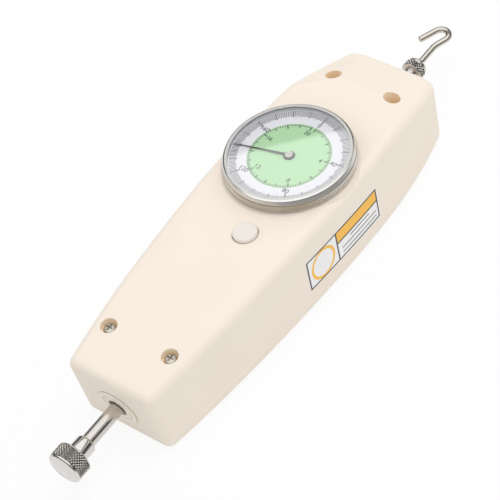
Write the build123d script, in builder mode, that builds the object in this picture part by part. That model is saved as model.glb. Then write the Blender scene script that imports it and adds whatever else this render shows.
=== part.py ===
from build123d import *
from math import acos, atan2, cos, degrees, pi, radians, sin, tan
import os

os.makedirs("parts", exist_ok=True)

# Push-pull force gauge with a round dial. Millimetres.
# Z = 0 is the rear face, +Z looks out through the dial, +Y runs toward the hook.
# The dial axis is the Z axis.

# ---- fits ----
running_gap = 0.05
press_gap = 0.02
body_gap = 0.3

# ---- heights of the inner stack ----
chassis_z = 8.0
chassis_thickness = 2.5
shaft_z = 16.7
movement_rise = 5.3
plate_thickness = 2.0
movement_room = 9.0
front_rise = 6.3

# ---- case ----
knob_end_y = -121.0
hook_end_y = 71.3
knob_end_lean = 0.105
hook_end_lean = 0.05
knob_rim_drop = 4.8
hook_rim_drop = 7.8
case_half_width = 29.9
case_draft = 1.0
rim_round = 4.0
rear_round = 3.9
wall = 2.5
floor_z = 5.0
cover_thickness = 2.8
cover_inset = 6.0
cover_gap = 0.15
cover_corner = 3.0
cover_edge = 0.4
opening_inset = 7.6

# the plan is a barrel, widest at widest_y; each side falls away in two steps
widest_y = 4.0
knob_fall = 1.8
knob_fall_reach = 57.0
knob_tip_fall = 2.0
hook_fall = 1.3
hook_fall_reach = 29.0
hook_tip_fall = 1.8
hook_tip_margin = 3.6

# facets of the front, each given by where it leaves the plateau and its fall
crown_inset = 68.0
hook_slope_inset = 23.3
knob_slope = 0.0714
hook_slope = 0.335
side_slope_x = 0.154
side_slope_y = 0.0475
corner_slope = 0.37
corner_turn = 50.4
plateau_hook_inset = 20.2
plateau_waist_inset = 12.9

# ---- shaft line ----
shaft_r = 3.0
shaft_edge = 0.5
travel = 10.0
end_ring_r = 9.25
end_ring_proud = 0.3
ring_groove_r = 6.6
ring_groove_depth = 0.2
hub_length = 7.0
head_r = 7.35
head_length = 7.5
head_socket = 5.5
head_standoff = 23.7
nut_length = 3.6
nut_r = 4.9
nut_edge = 0.4
hook_shoulder_r = 4.35
hook_shoulder_length = 3.1
hook_shoulder_edge = 1.1
hook_wire_r = 1.42
hook_bend_r = 3.6
hook_bend_x = -1.35
hook_bend_rise = 24.7
hook_swing = 21.0
hook_swing_r = 9.0
hook_shank_r = 1.7
hook_shank_length = 3.6
hook_flare = 23.0
hook_return_length = 8.6

# ---- springs and their collar ----
spring_room = 1.3
spring_wire_r = 0.45
spring_turns = 6
collar_length = 5.0
collar_shift = -0.5
collar_room = 0.5

# ---- chassis ----
chassis_half_width = 13.0
chassis_wide_half_width = 19.0
chassis_wide_y = -8.5
chassis_wide_length = 42.0
screw_arm_width = 9.0
screw_arm_overhang = 2.9
upright_thickness = 3.0
upright_height = 18.0
knob_upright_inset = 8.0
mid_upright_y = -50.0
hook_upright_inset = 12.8
bush_wall = 1.5
bush_flange = 1.2
bush_flange_thickness = 0.8
slot_width = 7.0
slot_length = 16.0
slot_spots = [(0, -66), (0, -98), (0, 32)]

# ---- screws through the front ----
case_screw_inset = 21.4
low_screw_x = 15.1
high_screw_x = 14.65
screw_well_r = 3.5
post_r = 4.9
case_screw_r = 1.5
case_screw_head_r = 2.8
case_screw_head_height = 1.9
case_screw_room = 0.2
low_head_depth = 4.3
high_head_top_z = 22.0

# ---- screws of the rear cover ----
cover_screw_edge = 3.6
cover_screw_knob_inset = 18.0
cover_screw_mid_y = -20.0
cover_screw_hook_inset = 16.3
cover_screw_r = 1.25
cover_screw_head_r = 2.4
cover_screw_length = 6.6
cover_post_r = 3.4
cover_post_height = 4.8

# ---- dial and bezel ----
bezel_foot_r = 27.03
bezel_wall = 1.68
bezel_height = 6.07
bezel_lip_drop = 0.31
bezel_lip_inset = 0.63
bezel_top_inset = 1.18
bezel_slope_drop = 1.6
window_lip = 0.59
seat_margin = 1.67
seat_proud = 0.2
spigot_wall = 4.3
spigot_height = 2.3
dial_drop = 2.37
dial_thickness = 0.8
lens_thickness = 0.8
lens_drop = 0.27
dial_hole_r = 2.5
retainer_thickness = 0.6
retainer_width = 1.55
snap_ring_rise = 1.0
snap_ring_r = 0.35
snap_ring_arc = 345

# ---- movement ----
rack_pitch = 1.0
rack_teeth = 29
rack_length = 42.0
rack_height = 4.6
rack_flat_depth = 1.0
rack_screw_reach = 18.4
rack_screw_r = 0.7
rack_screw_head_r = 1.4
rack_screw_head_height = 0.9
pinion_teeth = 20
large_teeth = 48
centre_teeth = 24
train_module = 0.4
transfer_y = -12.48
pinion_length = 6.0
large_gear_drop = 5.1
large_gear_thickness = 2.0
large_hub_r = 2.4
large_hub_length = 1.2
centre_gear_drop = 6.1
centre_gear_thickness = 4.0
transfer_arbor_r = 0.9
pointer_arbor_r = 0.8
pointer_pivot_r = 0.6
plate_width = 38.0
plate_length = 38.5
plate_y = -7.75
pillar_r = 2.2
pillar_screw_r = 1.0
pillar_x = 16.0
pillar_high_y = 9.0
pillar_low_y = -24.0
plate_screw_head_r = 1.9
plate_screw_head_height = 1.2
plate_screw_grip = 11.0
backlash = 0.08
hairspring_drop = 1.7
hairspring_height = 0.9
hairspring_turns = 4.25
hairspring_end_r = 6.4
hairspring_strip = 0.22
collet_r = 1.7
collet_length = 1.5
stud_r = 0.7

# ---- pointer ----
pointer_heading = -102.4
pointer_tip_gap = 0.46
pointer_root_width = 1.24
pointer_tip_width = 0.24
pointer_hub_r = 1.5
pointer_thickness = 0.2
pointer_cap_r = 1.7
pointer_cap_height = 0.5

# ---- peak button and its lever ----
button_x = 5.8
button_y = -38.6
button_r = 5.1
button_proud = 1.1
button_roof = 1.4
button_flange_r = 6.3
button_flange_thickness = 1.2
button_hollow_r = 4.1
button_stem_r = 1.5
button_spring_r = 2.9
button_spring_wire_r = 0.25
button_spring_turns = 4
bracket_drop = 6.3
bracket_thickness = 0.8
bracket_post_x = 9.5
bracket_post_r = 2.2
bracket_width = 8.5
bracket_screw_r = 1.0
bracket_screw_length = 4.6
dish_r = 8.2
dish_depth = 0.9
lever_drop = 1.6
lever_thickness = 1.2
lever_width = 2.0
lever_boss_r = 1.45
lever_pivot_y = -29.5
lever_pivot_drop = 1.5
lever_pin_r = 0.75
lever_ear_gap = 3.0
lever_ear_thickness = 1.0
lever_ear_width = 3.0
brake_end_y = -19.0

# ---- stand holes in the rear cover ----
insert_r = 4.0
insert_length = 7.0
insert_boss_wall = 1.6
insert_thread_r = 2.5
insert_spacing_x = 24.0
insert_spacing_y = 50.0

# ---- heights that follow, from the chassis up to the lens ----
chassis_top_z = chassis_z + chassis_thickness
movement_low_z = shaft_z + movement_rise
low_plate_top_z = movement_low_z + plate_thickness
movement_high_z = low_plate_top_z + movement_room
high_plate_top_z = movement_high_z + plate_thickness
plateau_z = movement_high_z + front_rise
knob_rim_z = plateau_z - knob_rim_drop
hook_rim_z = plateau_z - hook_rim_drop
seat_z = plateau_z + seat_proud
spigot_top_z = seat_z + spigot_height
bezel_foot_z = seat_z + body_gap
bezel_top_z = bezel_foot_z + bezel_height
bezel_lip_z = bezel_top_z - bezel_lip_drop
bezel_stack_z = bezel_top_z - lens_drop
dial_z = bezel_top_z - dial_drop
snap_ring_z = bezel_foot_z + snap_ring_rise
low_head_top_z = plateau_z - low_head_depth
button_top_z = plateau_z + button_proud
bracket_z = plateau_z - bracket_drop
lever_top_z = movement_high_z - lever_drop
lever_pivot_z = movement_high_z - lever_pivot_drop
pinion_z = shaft_z - pinion_length / 2
large_gear_z = movement_high_z - large_gear_drop
centre_gear_z = movement_high_z - centre_gear_drop
hairspring_z = movement_high_z - hairspring_drop

# ---- places on the case that follow ----
crown_y = knob_end_y + crown_inset
hook_slope_y = hook_end_y - hook_slope_inset
plateau_hook_x = case_half_width - plateau_hook_inset
plateau_waist_x = case_half_width - plateau_waist_inset

# ---- places along the shaft that follow ----
low_screw_y = knob_end_y + case_screw_inset
high_screw_y = hook_end_y - case_screw_inset
knob_upright_y = knob_end_y + knob_upright_inset
hook_upright_y = hook_end_y - hook_upright_inset
collar_y = (knob_upright_y + mid_upright_y) / 2 + collar_shift
head_back_y = knob_end_y - head_standoff
nut_y = hook_end_y + travel + body_gap
hook_bend_y = nut_y + hook_bend_rise

# ---- radii that follow ----
bush_r = shaft_r + bush_wall
spring_r = shaft_r + spring_room
collar_r = shaft_z - chassis_top_z - collar_room
hub_r = shaft_r + 1.25
end_ring_bore_r = shaft_r + 1.25
bezel_bore_r = bezel_foot_r - bezel_wall
bezel_lip_r = bezel_foot_r - bezel_lip_inset
bezel_top_r = bezel_foot_r - bezel_top_inset
window_r = bezel_bore_r - window_lip
seat_r = bezel_foot_r + seat_margin
spigot_r = bezel_bore_r - running_gap
spigot_inner_r = spigot_r - spigot_wall
pointer_reach = window_r - pointer_tip_gap
pinion_r = pinion_teeth * rack_pitch / (2 * pi)
large_r = large_teeth * train_module / 2
centre_r = centre_teeth * train_module / 2
transfer_x = -((large_r + centre_r) ** 2 - transfer_y**2) ** 0.5
rack_line_x = transfer_x + pinion_r
rack_flat_x = shaft_r - rack_flat_depth


def save(shape, label):
    shape.label = label
    export_step(shape, f"parts/{label}.step")


def along_y(y, z=shaft_z, x=0):
    """Sketch plane across the shaft line, its normal toward the hook and its Y up."""
    return Plane(origin=(x, y, z), x_dir=(-1, 0, 0), z_dir=(0, 1, 0))


# =============================== case ===============================
def barrel_width(y):
    """Half width of the barrel-shaped plan, widest just past the dial axis."""
    if y < widest_y:
        away = widest_y - y
        tip = away / (widest_y - knob_end_y)
        return case_half_width - knob_fall * (away / knob_fall_reach) ** 1.75 - knob_tip_fall * tip**4
    away = y - widest_y
    tip = away / (hook_end_y - widest_y - hook_tip_margin)
    return case_half_width - hook_fall * (away / hook_fall_reach) ** 1.9 - hook_tip_fall * tip**5


front_planes = [
    Plane(origin=(0, crown_y, plateau_z), z_dir=(0, -knob_slope, 1)),
    Plane(origin=(0, hook_slope_y, plateau_z), z_dir=(0, hook_slope, 1)),
]
for hand in (1, -1):
    front_planes.append(
        Plane(
            origin=(hand * plateau_waist_x, crown_y, plateau_z),
            z_dir=(hand * side_slope_x, -side_slope_y, 1),
        )
    )
    front_planes.append(
        Plane(
            origin=(hand * plateau_hook_x, hook_slope_y, plateau_z),
            z_dir=(
                hand * corner_slope * cos(radians(corner_turn)),
                corner_slope * sin(radians(corner_turn)),
                1,
            ),
        )
    )


knob_wall = Plane(origin=(0, knob_end_y, knob_rim_z), z_dir=(0, -1, -knob_end_lean))
hook_wall = Plane(origin=(0, hook_end_y, hook_rim_z), z_dir=(0, 1, -hook_end_lean))
knob_wall_y = knob_end_y + knob_end_lean * (knob_rim_z - shaft_z)
hook_wall_y = hook_end_y - hook_end_lean * (hook_rim_z - shaft_z)
knob_ring_face = Plane(origin=(0, knob_wall_y, shaft_z), x_dir=(1, 0, 0), z_dir=knob_wall.z_dir)
hook_ring_face = Plane(origin=(0, hook_wall_y, shaft_z), x_dir=(1, 0, 0), z_dir=hook_wall.z_dir)


def barrel_sides(inset, low_y, high_y):
    """Points down one side of the plan, drawn in from the outside by the inset."""
    stations = [low_y + (high_y - low_y) * step / 5 for step in range(6)]
    return [(barrel_width(y) - inset, y) for y in stations]


def case_form(inset, base_z):
    """The faceted barrel, either its skin or the hollow a wall inside it."""
    side = barrel_sides(inset, knob_end_y - 1, hook_end_y + 1)
    with BuildPart() as form:
        with BuildSketch(Plane.XY.offset(base_z)):
            with BuildLine():
                right = Spline(*side)
                left = Spline(*[(-x, y) for x, y in side])
                Line(right @ 0, left @ 0)
                Line(right @ 1, left @ 1)
            make_face()
        extrude(amount=plateau_z - inset - base_z, taper=case_draft)
        for plane in front_planes + [knob_wall, hook_wall]:
            split(bisect_by=plane.offset(-inset), keep=Keep.BOTTOM)
    return form.part


def barrel_plate(inset, base_z, height):
    """A flat plate with the plan of the rear face, drawn in by the inset."""
    low_y = knob_end_y + knob_end_lean * knob_rim_z + inset
    high_y = hook_end_y - hook_end_lean * hook_rim_z - inset
    side = barrel_sides(inset, low_y, high_y)
    with BuildPart() as plate:
        with BuildSketch(Plane.XY.offset(base_z)):
            with BuildLine():
                right = Spline(*side)
                left = Spline(*[(-x, y) for x, y in side])
                Line(right @ 0, left @ 0)
                Line(right @ 1, left @ 1)
            make_face()
            fillet(vertices(), radius=cover_corner)
        extrude(amount=height)
    return plate.part


cover_screw_rows = [
    knob_end_y + cover_screw_knob_inset,
    cover_screw_mid_y,
    hook_end_y - cover_screw_hook_inset,
]
cover_screw_spots = [
    (hand * (barrel_width(y) - cover_inset - cover_screw_edge), y)
    for hand in (1, -1)
    for y in cover_screw_rows
]
low_screw_spots = [(low_screw_x, low_screw_y), (-low_screw_x, low_screw_y)]
high_screw_spots = [(high_screw_x, high_screw_y), (-high_screw_x, high_screw_y)]
bracket_spots = [(button_x - bracket_post_x, button_y), (button_x + bracket_post_x, button_y)]

hollow = case_form(wall, floor_z)
inner_skin = case_form(wall / 2, 0)
rear_opening = barrel_plate(opening_inset, 0, floor_z)
cover_rebate = barrel_plate(cover_inset, 0, cover_thickness)
skin = case_form(0, 0)

# posts that stand on the chassis under the front, trimmed to the front wall
with BuildPart() as front_posts:
    with BuildSketch(Plane.XY.offset(chassis_top_z)):
        with Locations(*low_screw_spots, *high_screw_spots):
            Circle(post_r)
    extrude(amount=plateau_z - chassis_top_z)
    add(inner_skin, mode=Mode.INTERSECT)

with BuildPart() as front_case:
    add(skin)
    front = front_case.faces().filter_by(lambda f: f.normal_at().Z > 0.8)
    sides = front_case.faces().filter_by(lambda f: abs(f.normal_at().Z) < 0.3)
    rim = [e for e in front.edges() if any(e.is_same(s) for s in sides.edges())]
    corners = [e for e in front_case.edges() if abs((e % 0.5).Z) > 0.95]
    fillet(rim + corners, radius=rim_round)
    fillet(front_case.faces().sort_by(Axis.Z)[0].edges(), radius=rear_round)
    add(hollow, mode=Mode.SUBTRACT)
    add(rear_opening, mode=Mode.SUBTRACT)
    add(cover_rebate, mode=Mode.SUBTRACT)
    # round seat and upstanding spigot that the bezel turns on
    with BuildSketch(Plane.XY.offset(plateau_z - wall)):
        Circle(seat_r)
    extrude(amount=seat_z - plateau_z + wall)
    with BuildSketch(Plane.XY.offset(seat_z)):
        Circle(spigot_r)
    extrude(amount=spigot_height)
    with BuildSketch(Plane.XY.offset(plateau_z - wall)):
        Circle(spigot_inner_r)
    extrude(amount=wall + spigot_top_z - plateau_z, mode=Mode.SUBTRACT)
    with BuildSketch(Plane.XZ):
        with Locations((spigot_r, snap_ring_z)):
            Circle(snap_ring_r + running_gap)
    revolve(axis=Axis.Z, mode=Mode.SUBTRACT)
    # posts with the screw wells down their middles
    add(front_posts.part)
    with BuildSketch(Plane.XY.offset(low_head_top_z - case_screw_head_height)):
        with Locations(*low_screw_spots):
            Circle(screw_well_r)
    extrude(amount=plateau_z, mode=Mode.SUBTRACT)
    with BuildSketch(Plane.XY.offset(high_head_top_z - case_screw_head_height)):
        with Locations(*high_screw_spots):
            Circle(screw_well_r)
    extrude(amount=plateau_z, mode=Mode.SUBTRACT)
    with BuildSketch(Plane.XY.offset(chassis_z)):
        with Locations(*low_screw_spots, *high_screw_spots):
            Circle(case_screw_r + case_screw_room)
    extrude(amount=plateau_z, mode=Mode.SUBTRACT)
    # posts for the rear cover screws, on the ledge around the opening
    with BuildSketch(Plane.XY.offset(cover_thickness)):
        with Locations(*cover_screw_spots):
            Circle(cover_post_r)
    extrude(amount=cover_post_height)
    with BuildSketch(Plane.XY.offset(cover_thickness)):
        with Locations(*cover_screw_spots):
            Circle(cover_screw_r + press_gap)
    extrude(amount=cover_screw_length - cover_thickness + 0.2, mode=Mode.SUBTRACT)
    # posts for the button bracket
    with BuildSketch(Plane.XY.offset(bracket_z + bracket_thickness)):
        with Locations(*bracket_spots):
            Circle(bracket_post_r)
    extrude(amount=plateau_z - wall - bracket_z - bracket_thickness + 0.5)
    with BuildSketch(Plane.XY.offset(bracket_z)):
        with Locations(*bracket_spots):
            Circle(bracket_screw_r + press_gap)
    extrude(amount=bracket_screw_length - 0.4, mode=Mode.SUBTRACT)
    # dished recess and hole of the peak button
    dish_ball_r = (dish_r**2 + dish_depth**2) / (2 * dish_depth)
    with Locations((button_x, button_y, plateau_z - dish_depth + dish_ball_r)):
        Sphere(dish_ball_r, mode=Mode.SUBTRACT)
    with BuildSketch(Plane.XY.offset(plateau_z - wall - 0.5)):
        with Locations((button_x, button_y)):
            Circle(button_r + body_gap)
    extrude(amount=wall + 1, mode=Mode.SUBTRACT)
    # holes in the end walls for the shaft rings
    with BuildSketch(knob_ring_face.offset(2), hook_ring_face.offset(2)):
        Circle(end_ring_r)
    extrude(amount=-wall - 4, mode=Mode.SUBTRACT)
save(front_case.part, "front_case")

# ============================ rear cover ============================
insert_spots = [
    (sx * insert_spacing_x / 2, sy * insert_spacing_y / 2)
    for sx in (1, -1)
    for sy in (1, -1)
]
cover_plate = barrel_plate(cover_inset + cover_gap, 0, cover_thickness)
with BuildPart() as rear_cover:
    add(cover_plate)
    chamfer(rear_cover.faces().sort_by(Axis.Z)[0].edges(), length=cover_edge)
    with BuildSketch(Plane.XY.offset(cover_thickness)):
        with Locations(*insert_spots):
            Circle(insert_r + insert_boss_wall)
    extrude(amount=insert_length - cover_thickness)
    with BuildSketch(Plane.XY):
        with Locations(*insert_spots):
            Circle(insert_r)
    extrude(amount=insert_length, mode=Mode.SUBTRACT)
    with Locations(*[Location((x, y, 0), (180, 0, 0)) for x, y in cover_screw_spots]):
        CounterSinkHole(
            radius=cover_screw_r + 0.15,
            counter_sink_radius=cover_screw_head_r + 0.2,
            depth=cover_thickness,
            counter_sink_angle=90,
        )
save(rear_cover.part, "rear_cover")

with BuildPart() as stand_inserts:
    with BuildSketch(Plane.XY):
        with Locations(*insert_spots):
            Circle(insert_r)
            Circle(insert_thread_r, mode=Mode.SUBTRACT)
    extrude(amount=insert_length)
save(stand_inserts.part, "stand_inserts")


def countersunk_screw(radius, head_r, length):
    """Flat-head cross-recess screw pointing up from its head face at Z = 0."""
    with BuildPart() as screw:
        with BuildSketch(Plane.XZ):
            with BuildLine():
                Polyline(
                    (0, 0.1), (head_r, 0.1), (radius, 0.1 + head_r - radius),
                    (radius, length - 0.5), (radius - 0.5, length), (0, length), close=True,
                )
            make_face()
        revolve(axis=Axis.Z)
        for turn in (0, 90):
            with BuildSketch(Plane.XY):
                Rectangle(2.8, 0.6, rotation=turn)
            extrude(amount=1.2, mode=Mode.SUBTRACT)
    return screw.part


def pan_screw(radius, head_r, head_height, length):
    """Pan-head cross-recess screw pointing down from its head top at Z = 0."""
    with BuildPart() as screw:
        with BuildSketch(Plane.XZ):
            with BuildLine():
                Line((0, 0), (head_r * 0.45, 0))
                ThreePointArc(
                    (head_r * 0.45, 0), (head_r * 0.86, -head_height * 0.27),
                    (head_r, -head_height * 0.75),
                )
                Polyline(
                    (head_r, -head_height * 0.75), (head_r, -head_height),
                    (radius, -head_height), (radius, 0.4 - length),
                    (radius - 0.4, -length), (0, -length), (0, 0),
                )
            make_face()
        revolve(axis=Axis.Z)
        for turn in (0, 90):
            with BuildSketch(Plane.XY):
                Rectangle(head_r * 1.15, head_r * 0.24, rotation=turn)
            extrude(amount=-head_height * 0.6, mode=Mode.SUBTRACT)
    return screw.part


def cheese_screw(radius, head_r, head_height, length):
    """Slotted cheese-head screw pointing down from its head top at Z = 0."""
    with BuildPart() as screw:
        with BuildSketch(Plane.XY):
            Circle(head_r)
        extrude(amount=-head_height)
        chamfer(screw.faces().sort_by(Axis.Z)[-1].edges(), length=0.2)
        with BuildSketch(Plane.XY.offset(-head_height)):
            Circle(radius)
        extrude(amount=head_height - length)
        with BuildSketch(Plane.XY):
            Rectangle(2 * head_r + 1, head_r * 0.3)
        extrude(amount=-head_height * 0.5, mode=Mode.SUBTRACT)
    return screw.part


def set_out(screw, spots, z):
    """The same fastener at every spot, as one group of separate solids."""
    return Compound(children=[screw.moved(Location((x, y, z))) for x, y in spots])


cover_screw = countersunk_screw(cover_screw_r, cover_screw_head_r, cover_screw_length)
save(set_out(cover_screw, cover_screw_spots, 0), "cover_screws")
low_screw = pan_screw(case_screw_r, case_screw_head_r, case_screw_head_height, low_head_top_z - chassis_z)
high_screw = pan_screw(case_screw_r, case_screw_head_r, case_screw_head_height, high_head_top_z - chassis_z)
save(set_out(low_screw, low_screw_spots, low_head_top_z), "long_case_screws")
save(set_out(high_screw, high_screw_spots, high_head_top_z), "short_case_screws")


def end_ring(face):
    """Moulded ring, a little proud of the wall, with a groove around the shaft hole."""
    with BuildPart() as ring:
        with BuildSketch(Plane.XZ):
            with BuildLine():
                Polyline(
                    (end_ring_bore_r, end_ring_proud),
                    (ring_groove_r - 0.4, end_ring_proud),
                    (ring_groove_r - 0.2, -ring_groove_depth),
                    (ring_groove_r + 0.2, -ring_groove_depth),
                    (ring_groove_r + 0.4, end_ring_proud),
                    (end_ring_r - 0.3, end_ring_proud),
                    (end_ring_r - press_gap, 0),
                    (end_ring_r - press_gap, -wall),
                    (end_ring_bore_r, -wall),
                    close=True,
                )
            make_face()
        revolve(axis=Axis.Z)
    return ring.part.moved(face.location)


save(end_ring(knob_ring_face), "knob_end_ring")
save(end_ring(hook_ring_face), "hook_end_ring")

# ============================= chassis ==============================
movement_pillar_spots = [
    (pillar_x, pillar_high_y),
    (-pillar_x, pillar_high_y),
    (pillar_x, pillar_low_y),
    (-pillar_x, pillar_low_y),
]
lever_x = button_x

with BuildPart() as chassis:
    with BuildSketch(Plane.XY.offset(chassis_z)):
        with Locations((0, (knob_upright_y + hook_upright_y) / 2)):
            Rectangle(2 * chassis_half_width, hook_upright_y - knob_upright_y + upright_thickness)
        with Locations((0, chassis_wide_y)):
            RectangleRounded(2 * chassis_wide_half_width, chassis_wide_length, 3)
        with Locations((0, low_screw_y), (0, high_screw_y)):
            RectangleRounded(2 * (low_screw_x + screw_arm_overhang), screw_arm_width, 2.8)
    extrude(amount=chassis_thickness)
    for upright_y in (knob_upright_y, mid_upright_y, hook_upright_y):
        with BuildSketch(along_y(upright_y - upright_thickness / 2, z=chassis_top_z)):
            with Locations((0, upright_height / 2)):
                RectangleRounded(2 * chassis_half_width - 2, upright_height, 3)
            with Locations((0, 2)):
                Rectangle(2 * chassis_half_width - 2, 4)
        extrude(amount=upright_thickness)
    # column beside the shaft whose two ears carry the brake lever pin
    with BuildSketch(Plane.XY.offset(chassis_top_z)):
        with Locations((lever_x, lever_pivot_y)):
            Rectangle(lever_ear_gap + 2 * lever_ear_thickness, lever_ear_width)
    extrude(amount=upright_height)
    with BuildSketch(along_y(lever_pivot_y - lever_ear_width)):
        Circle(shaft_r + 0.28)
    extrude(amount=2 * lever_ear_width, mode=Mode.SUBTRACT)
    for ear in (-1, 1):
        ear_x = lever_x + ear * (lever_ear_gap + lever_ear_thickness) / 2
        with BuildSketch(Plane.YZ.offset(ear_x - lever_ear_thickness / 2)):
            with Locations((lever_pivot_y, (chassis_top_z + upright_height + lever_pivot_z) / 2)):
                Rectangle(lever_ear_width, lever_pivot_z - chassis_top_z - upright_height)
            with Locations((lever_pivot_y, lever_pivot_z)):
                Circle(lever_ear_width / 2)
        extrude(amount=lever_ear_thickness)
    with BuildSketch(Plane.YZ.offset(lever_x - 4)):
        with Locations((lever_pivot_y, lever_pivot_z)):
            Circle(lever_pin_r + press_gap)
    extrude(amount=8, mode=Mode.SUBTRACT)
    # bores across the uprights
    with BuildSketch(along_y(knob_upright_y - 5)):
        Circle(bush_r)
    extrude(amount=10, mode=Mode.SUBTRACT)
    with BuildSketch(along_y(mid_upright_y - 5)):
        Circle(shaft_r + 0.6)
    extrude(amount=10, mode=Mode.SUBTRACT)
    with BuildSketch(along_y(hook_upright_y - 5)):
        Circle(bush_r)
    extrude(amount=10, mode=Mode.SUBTRACT)
    # holes down through the plate
    with BuildSketch(Plane.XY.offset(chassis_z)):
        with Locations(*low_screw_spots, *high_screw_spots):
            Circle(case_screw_r + press_gap)
        with Locations((transfer_x, transfer_y)):
            Circle(transfer_arbor_r + running_gap)
        with Locations(*slot_spots):
            SlotOverall(slot_length, slot_width, rotation=90)
    extrude(amount=chassis_thickness, mode=Mode.SUBTRACT)
save(chassis.part, "chassis")


def flanged_bush(y, outward):
    """Bronze bush pressed into an upright, its thin flange on the outer side."""
    flange_y = y + outward * upright_thickness / 2
    end_y = y - outward * upright_thickness / 2
    with BuildPart() as bush:
        with BuildSketch(along_y(min(flange_y, end_y))):
            Circle(bush_r - press_gap)
        extrude(amount=upright_thickness)
        with BuildSketch(along_y(flange_y if outward > 0 else flange_y - bush_flange_thickness)):
            Circle(bush_r + bush_flange)
        extrude(amount=bush_flange_thickness)
        with BuildSketch(along_y(min(flange_y, end_y) - 2)):
            Circle(shaft_r + running_gap)
        extrude(amount=upright_thickness + 4, mode=Mode.SUBTRACT)
    return bush.part


save(flanged_bush(knob_upright_y, -1), "knob_end_bush")
save(flanged_bush(hook_upright_y, 1), "hook_end_bush")

# ============================ shaft line ============================
shaft_knob_end = head_back_y - head_socket
shaft_hook_end = nut_y + nut_length
rack_screw_spots = [(transfer_y - rack_screw_reach, shaft_z), (transfer_y + rack_screw_reach, shaft_z)]

with BuildPart() as shaft:
    with BuildSketch(along_y(shaft_knob_end)):
        Circle(shaft_r - press_gap)
    extrude(amount=shaft_hook_end - shaft_knob_end)
    chamfer(shaft.edges().filter_by(GeomType.CIRCLE), length=shaft_edge)
    # flat milled for the rack
    with Locations((-rack_flat_x - 2, transfer_y, shaft_z)):
        Box(4, rack_length + 0.4, 8, mode=Mode.SUBTRACT)
    # tapped holes for the rack screws
    with BuildSketch(Plane.YZ.offset(-rack_flat_x)):
        with Locations(*rack_screw_spots):
            Circle(rack_screw_r + press_gap)
    extrude(amount=rack_flat_x + 1, mode=Mode.SUBTRACT)
    # tapped hole for the hook shank
    with BuildSketch(along_y(shaft_hook_end - hook_shank_length - 1)):
        Circle(hook_shank_r + running_gap)
    extrude(amount=hook_shank_length + 1, mode=Mode.SUBTRACT)
save(shaft.part, "shaft")

tooth_rise = rack_pitch / pi
rack_root_x = rack_line_x + 1.25 * tooth_rise
rack_tip_x = rack_line_x - 0.95 * tooth_rise
with BuildPart() as rack:
    with BuildSketch(Plane.XY.offset(shaft_z - rack_height / 2)):
        with Locations(((rack_root_x - rack_flat_x) / 2, transfer_y)):
            Rectangle(-rack_flat_x - rack_root_x, rack_length)
        with BuildLine():
            Polyline(
                (rack_root_x + 0.01, transfer_y - 0.42 * rack_pitch + 0.05),
                (rack_tip_x, transfer_y - 0.13 * rack_pitch + 0.02),
                (rack_tip_x, transfer_y + 0.13 * rack_pitch - 0.02),
                (rack_root_x + 0.01, transfer_y + 0.42 * rack_pitch - 0.05),
                close=True,
            )
        tooth = make_face(mode=Mode.PRIVATE)
        with Locations(*[(0, rack_pitch * (n - rack_teeth // 2)) for n in range(rack_teeth)]):
            add(tooth)
    extrude(amount=rack_height)
    with BuildSketch(Plane.YZ.offset(rack_root_x - 1)):
        with Locations(*rack_screw_spots):
            Circle(rack_screw_r + 0.15)
    extrude(amount=6, mode=Mode.SUBTRACT)
save(rack.part, "rack")


def rack_screw(y):
    """Small cheese-head screw that enters the shaft along +X."""
    head_x = rack_root_x - rack_screw_head_height
    with BuildPart() as screw:
        with BuildSketch(Plane(origin=(head_x, y, shaft_z), z_dir=(1, 0, 0))):
            Circle(rack_screw_head_r)
        extrude(amount=rack_screw_head_height)
        with BuildSketch(Plane(origin=(rack_root_x, y, shaft_z), z_dir=(1, 0, 0))):
            Circle(rack_screw_r)
        extrude(amount=-rack_root_x + 0.8)
        with Locations((head_x, y, shaft_z)):
            Box(0.7, 0.35, 3.2, mode=Mode.SUBTRACT)
    return screw.part


rack_screws = Compound(children=[rack_screw(y) for y, z in rack_screw_spots])
save(rack_screws, "rack_screws")

with BuildPart() as spring_collar:
    with BuildSketch(along_y(collar_y - collar_length / 2)):
        Circle(collar_r)
        Circle(shaft_r, mode=Mode.SUBTRACT)
    extrude(amount=collar_length)
    chamfer(spring_collar.edges().filter_by(GeomType.CIRCLE).sort_by(SortBy.RADIUS)[-2:], length=0.5)
save(spring_collar.part, "spring_collar")


def coil_spring(start_y, end_y):
    """Open compression spring around the shaft."""
    length = end_y - start_y
    with BuildPart() as spring:
        with BuildLine():
            coil = Helix(
                pitch=length / spring_turns,
                height=length,
                radius=spring_r,
                center=(0, start_y, shaft_z),
                direction=(0, 1, 0),
            )
        with BuildSketch(Plane(origin=coil @ 0, z_dir=coil % 0)):
            Circle(spring_wire_r)
        sweep(path=coil, is_frenet=True)
    return spring.part


seat_push_y = knob_upright_y + upright_thickness / 2 + spring_wire_r + running_gap
seat_pull_y = mid_upright_y - upright_thickness / 2 - spring_wire_r - running_gap
collar_side = collar_length / 2 + spring_wire_r + running_gap
save(coil_spring(seat_push_y, collar_y - collar_side), "push_spring")
save(coil_spring(collar_y + collar_side, seat_pull_y), "pull_spring")

with BuildPart() as push_head:
    with BuildSketch(Plane.YZ):
        with BuildLine():
            Polyline(
                (head_back_y + hub_length, shaft_z + shaft_r),
                (head_back_y + hub_length, shaft_z + hub_r - 0.6),
                (head_back_y + hub_length - 0.8, shaft_z + hub_r),
                (head_back_y, shaft_z + hub_r),
                (head_back_y, shaft_z + head_r - 0.5),
                (head_back_y - 0.5, shaft_z + head_r),
                (head_back_y - head_length + 0.8, shaft_z + head_r),
                (head_back_y - head_length, shaft_z + head_r - 0.8),
                (head_back_y - head_length, shaft_z),
                (shaft_knob_end, shaft_z),
                (shaft_knob_end, shaft_z + shaft_r),
                close=True,
            )
        make_face()
    revolve(axis=Axis((0, 0, shaft_z), (0, 1, 0)))
save(push_head.part, "push_head")

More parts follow.
